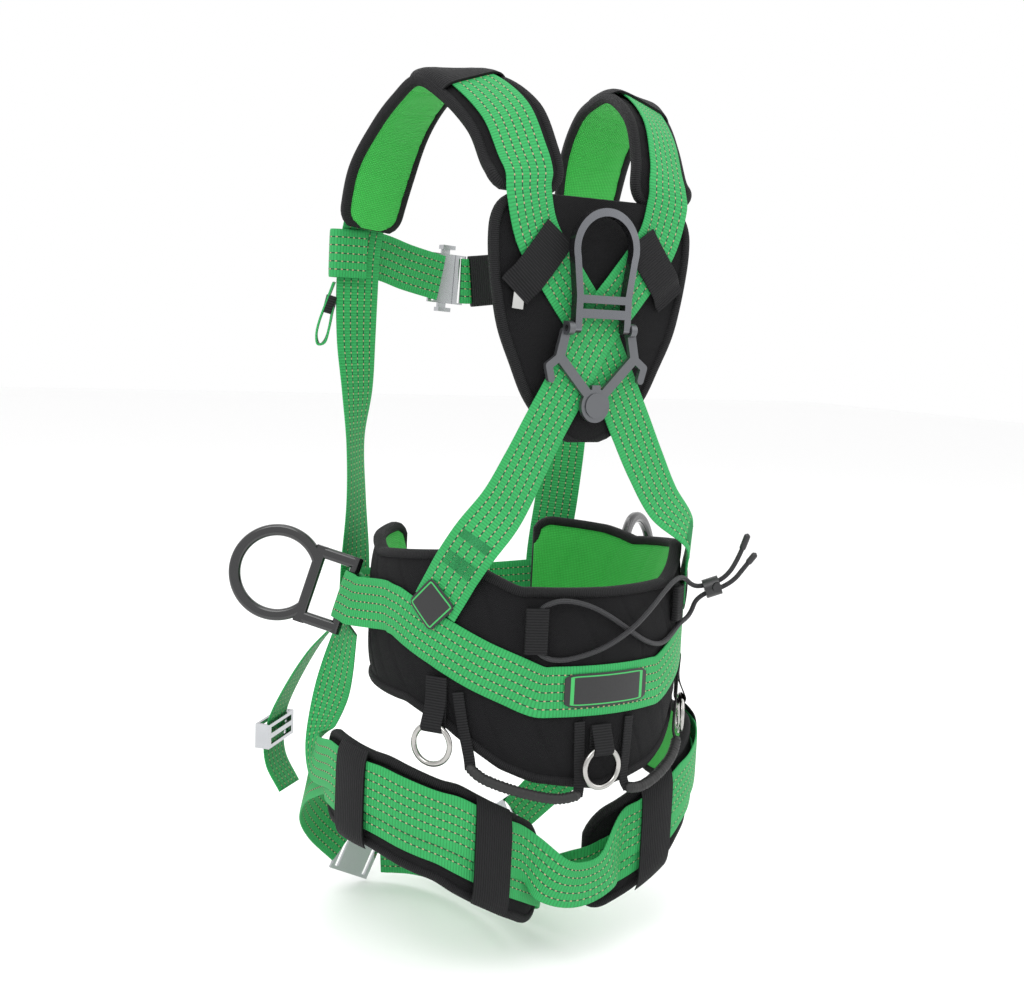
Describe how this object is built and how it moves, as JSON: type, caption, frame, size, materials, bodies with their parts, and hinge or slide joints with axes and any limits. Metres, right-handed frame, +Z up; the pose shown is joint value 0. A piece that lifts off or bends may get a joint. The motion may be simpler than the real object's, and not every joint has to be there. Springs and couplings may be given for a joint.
{
  "type": "tree climbing harness",
  "caption": "Full-body tree climbing harness with a padded waist belt, padded leg loops, crossed shoulder straps, a dorsal ring, side rings, gear rings and squeeze buckles.",
  "frame": {"origin": "centre of the wearer's waist, at belt height", "axes": "+Z up along the wearer, +X to the wearer's left, -Y the way the wearer faces"},
  "size_m": [0.498, 0.3221, 0.8044],
  "materials": {
    "green_webbing": "woven polyester webbing, ribbed, with dark and pink tracer lines",
    "pad_fabric": "black padded fabric, matte",
    "mesh_lining": "bright green spacer mesh",
    "black_webbing": "black ribbed binding and webbing",
    "moulded_grip": "black ribbed grip, matte",
    "polished_steel": "polished face, darker edges",
    "grey_plate": "satin grey",
    "black_ring": "gloss black coating",
    "buckle_chrome": "bright plated",
    "ring_steel": "stainless, smooth",
    "elastic": "black braided elastic cord",
    "black_plastic": "black moulded plastic",
    "label_rubber": "black rubber patch with a green border, bare",
    "thread": "pale sewing thread"
  },
  "bodies": {
    "harness": {"back_keeper_left": "black_webbing", "back_keeper_right": "black_webbing", "back_pad": "pad_fabric", "belt_pad": "pad_fabric", "belt_webbing": "green_webbing", "chest_frame": "buckle_chrome", "chest_keeper": "black_webbing", "chest_strap_left": "green_webbing", "chest_strap_right": "green_webbing", "chest_tongue": "buckle_chrome", "cord_lock_body": "black_plastic", "cord_sleeve_left": "black_webbing", "cord_sleeve_right": "black_webbing", "dorsal_plate": "grey_plate", "elastic_cord": "elastic", "front_riser_left": "green_webbing", "front_riser_right": "green_webbing", "gear_loop_left": "moulded_grip", "gear_loop_right": "moulded_grip", "gear_tab_back": "black_webbing", "gear_tab_left": "black_webbing", "gear_tab_right": "black_webbing", "lanyard_loop": "green_webbing", "leg_buckle_left": "buckle_chrome", "leg_buckle_right": "buckle_chrome", "leg_keeper_back_left": "black_webbing", "leg_keeper_back_right": "black_webbing", "leg_keeper_front_left": "black_webbing", "leg_keeper_front_right": "black_webbing", "leg_pad_left": "pad_fabric", "leg_pad_right": "pad_fabric", "leg_slide_left": "buckle_chrome", "leg_slide_right": "buckle_chrome", "leg_strap_left": "green_webbing", "leg_strap_right": "green_webbing", "seat_strap": "green_webbing", "shoulder_keeper_left": "black_webbing", "shoulder_keeper_right": "black_webbing", "shoulder_pad_left": "pad_fabric", "shoulder_pad_right": "pad_fabric", "shoulder_strap_left": "green_webbing", "shoulder_strap_right": "green_webbing", "waist_frame": "buckle_chrome", "waist_strap_left": "green_webbing", "waist_strap_right": "green_webbing", "waist_tongue": "buckle_chrome"},
    "dorsal_ring": {"dorsal_ring": "polished_steel"},
    "side_ring_left": {"side_ring_left": "black_ring"},
    "side_ring_right": {"side_ring_right": "black_ring"},
    "gear_ring_left": {"gear_ring_left": "ring_steel"},
    "gear_ring_back": {"gear_ring_back": "ring_steel"},
    "gear_ring_right": {"gear_ring_right": "ring_steel"},
    "chest_lever_upper": {"chest_lever_upper": "buckle_chrome"},
    "chest_lever_lower": {"chest_lever_lower": "buckle_chrome"},
    "waist_lever_upper": {"waist_lever_upper": "buckle_chrome"},
    "waist_lever_lower": {"waist_lever_lower": "buckle_chrome"},
    "cord_lock_button": {"cord_lock_button": "black_plastic"}
  },
  "joints": [
    {"name": "dorsal_ring_hinge", "type": "hinge", "parent": "harness", "child": "dorsal_ring", "pos_m": [0, 0.1294, 0.286], "axis": [-1, 0, 0], "range_deg": [0, 150]},
    {"name": "side_ring_left_hinge", "type": "hinge", "parent": "harness", "child": "side_ring_left", "pos_m": [0.156, -0.034, 0.029], "axis": [-0.2899, 0.05, 0.9557], "range_deg": [-50, 70]},
    {"name": "side_ring_right_hinge", "type": "hinge", "parent": "harness", "child": "side_ring_right", "pos_m": [-0.156, -0.034, 0.029], "axis": [0.2899, 0.05, 0.9557], "range_deg": [-70, 50]},
    {"name": "gear_ring_left_hinge", "type": "hinge", "parent": "harness", "child": "gear_ring_left", "pos_m": [0.13739, 0.10424, -0.062], "axis": [0.545, -0.8384, 0], "range_deg": [0, 90]},
    {"name": "gear_ring_back_hinge", "type": "hinge", "parent": "harness", "child": "gear_ring_back", "pos_m": [0.00552, 0.17478, -0.079], "axis": [0.9995, -0.031, 0], "range_deg": [0, 90]},
    {"name": "gear_ring_right_hinge", "type": "hinge", "parent": "harness", "child": "gear_ring_right", "pos_m": [-0.13739, 0.10424, -0.062], "axis": [0.545, 0.8384, 0], "range_deg": [0, 90]},
    {"name": "chest_lever_upper_slide", "type": "slide", "parent": "harness", "child": "chest_lever_upper", "axis": [0.0499, 0, -0.9988], "range_m": [0, 0.004], "stiffness_N_per_m": 600},
    {"name": "chest_lever_lower_slide", "type": "slide", "parent": "harness", "child": "chest_lever_lower", "axis": [-0.0499, 0, 0.9988], "range_m": [0, 0.004], "stiffness_N_per_m": 600},
    {"name": "waist_lever_upper_slide", "type": "slide", "parent": "harness", "child": "waist_lever_upper", "axis": [0, 0, -1], "range_m": [0, 0.004], "stiffness_N_per_m": 600},
    {"name": "waist_lever_lower_slide", "type": "slide", "parent": "harness", "child": "waist_lever_lower", "axis": [0, 0, 1], "range_m": [0, 0.004], "stiffness_N_per_m": 600},
    {"name": "cord_lock_button_slide", "type": "slide", "parent": "harness", "child": "cord_lock_button", "axis": [-0.5547, -0.8321, 0], "range_m": [0, 0.004], "stiffness_N_per_m": 600}
  ]
}
